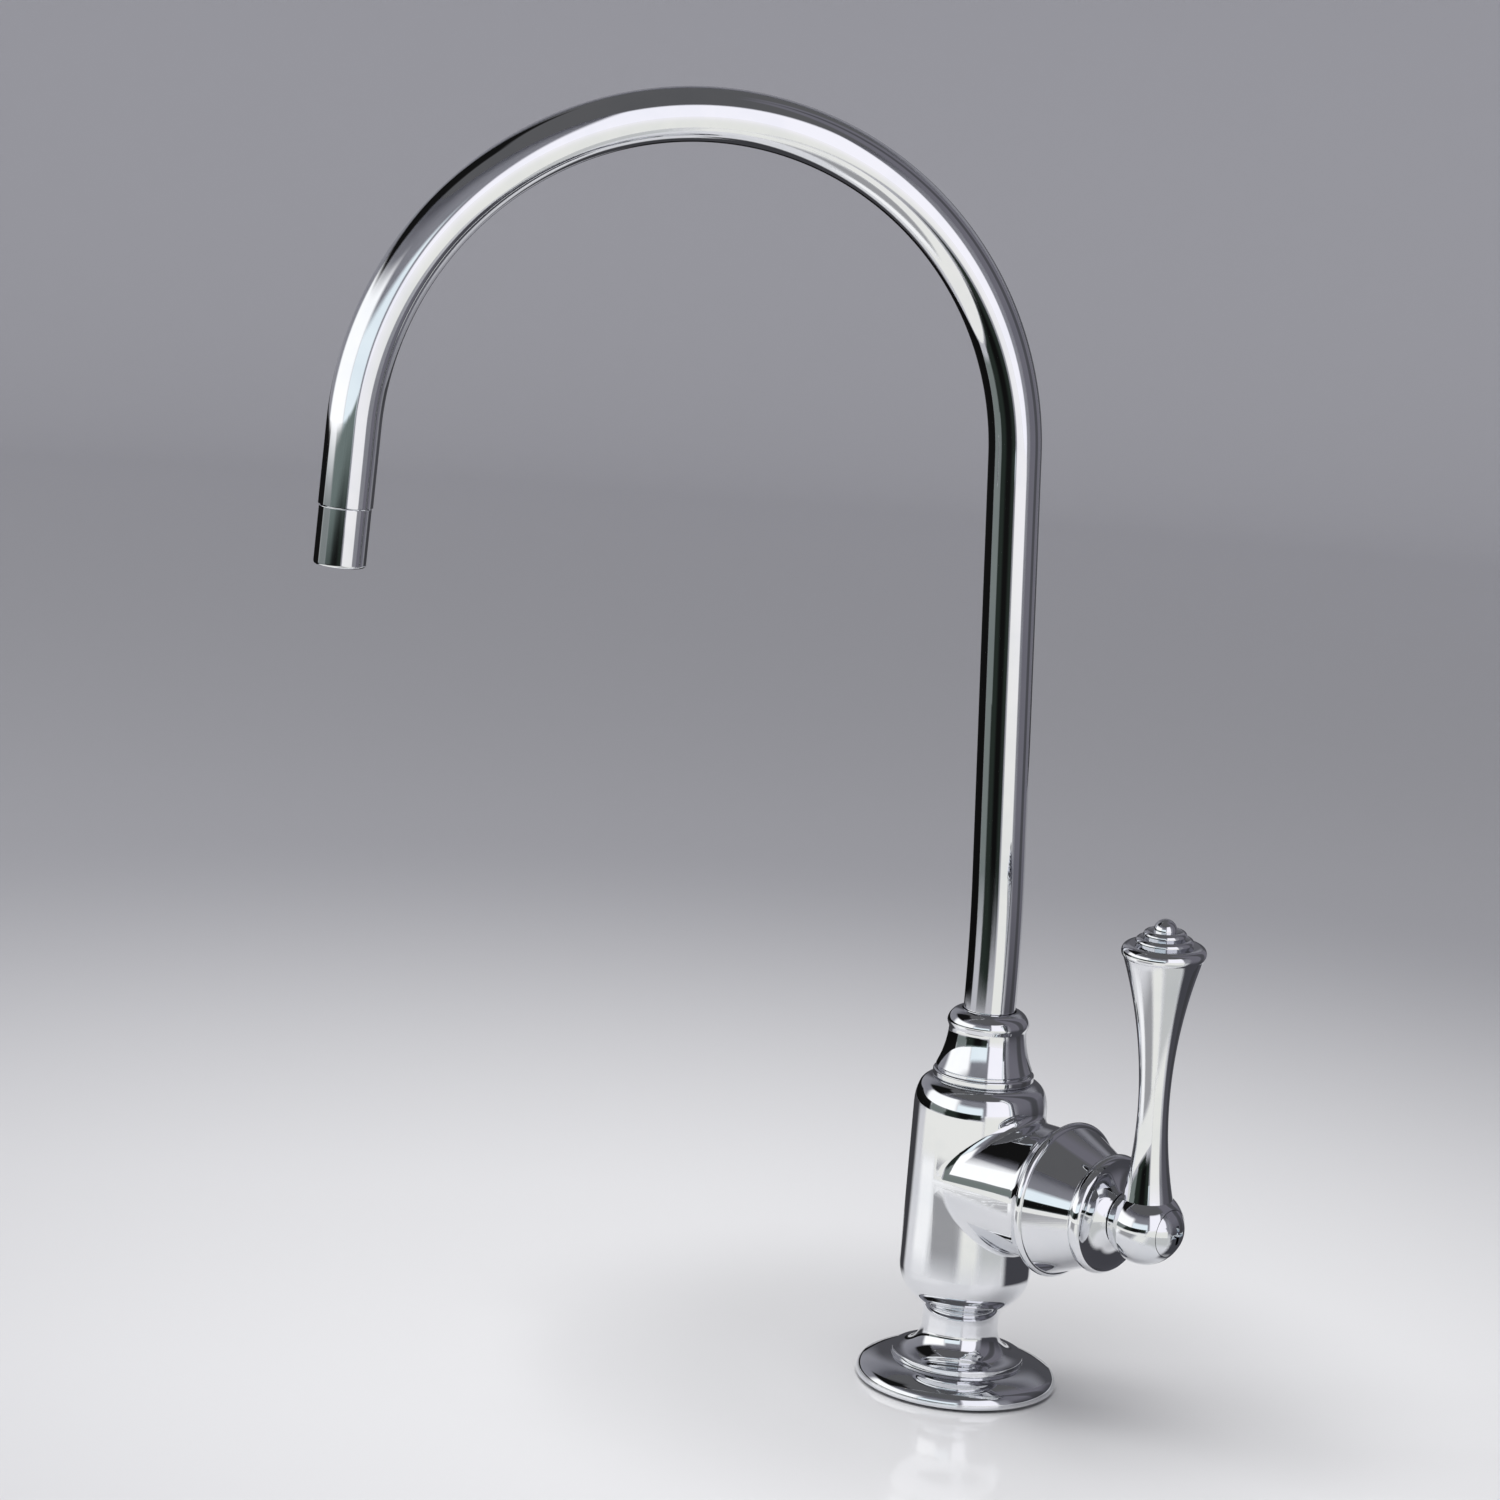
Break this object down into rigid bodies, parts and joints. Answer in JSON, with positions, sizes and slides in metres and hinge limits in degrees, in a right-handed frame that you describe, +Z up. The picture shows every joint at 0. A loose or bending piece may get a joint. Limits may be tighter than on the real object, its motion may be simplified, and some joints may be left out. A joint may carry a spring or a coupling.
{
  "type": "drinking water faucet",
  "caption": "Tall gooseneck drinking water faucet for a deck hole: swivelling spout, round stepped foot and a side lever valve.",
  "frame": {"origin": "on the deck's surface, on the upright axis of the body", "axes": "+Z up; the spout reaches towards -Y at rest; the valve's horn leaves at 35 degrees from +X towards +Y"},
  "size_m": [0.0759, 0.1996, 0.3601],
  "materials": {
    "chrome": "polished",
    "brass": "machined",
    "steel": "zinc plated",
    "rubber": "matt",
    "ceramic": "lapped ceramic",
    "nylon": "plain"
  },
  "bodies": {
    "standing": {"base_gasket": "rubber", "base_flange": "chrome", "body_casting": "chrome", "mounting_shank": "brass", "deck_rubber_washer": "rubber", "deck_steel_washer": "steel", "lock_washer": "steel", "mounting_nut": "brass", "supply_nut": "brass", "supply_ferrule": "brass", "spout_collar": "chrome", "slip_ring": "nylon", "seat_seal": "rubber", "fixed_disc": "ceramic", "cartridge_housing": "brass", "housing_o_ring": "rubber", "cartridge_lock_nut": "brass", "valve_bonnet": "chrome", "bonnet_cap": "chrome"},
    "spout": {"spout_foot": "brass", "spout_tube": "chrome", "lower_foot_o_ring": "rubber", "upper_foot_o_ring": "rubber", "outlet_tip": "chrome", "tip_o_ring": "rubber", "flow_straightener": "nylon", "outlet_washer": "rubber"},
    "handle": {"valve_stem": "brass", "moving_disc": "ceramic", "stem_o_ring": "rubber", "thrust_washer": "nylon", "stem_clip": "steel", "handle_hub": "chrome", "handle_lever": "chrome", "handle_screw": "chrome"}
  },
  "joints": [
    {"name": "spout_swivel", "type": "hinge", "parent": "standing", "child": "spout", "pos_m": [0, 0, 0.07], "axis": [0, 0, 1], "continuous": true},
    {"name": "handle_turn", "type": "hinge", "parent": "standing", "child": "handle", "pos_m": [0, 0, 0.051], "axis": [0.8192, 0.5736, 0], "range_deg": [0, 90]}
  ]
}
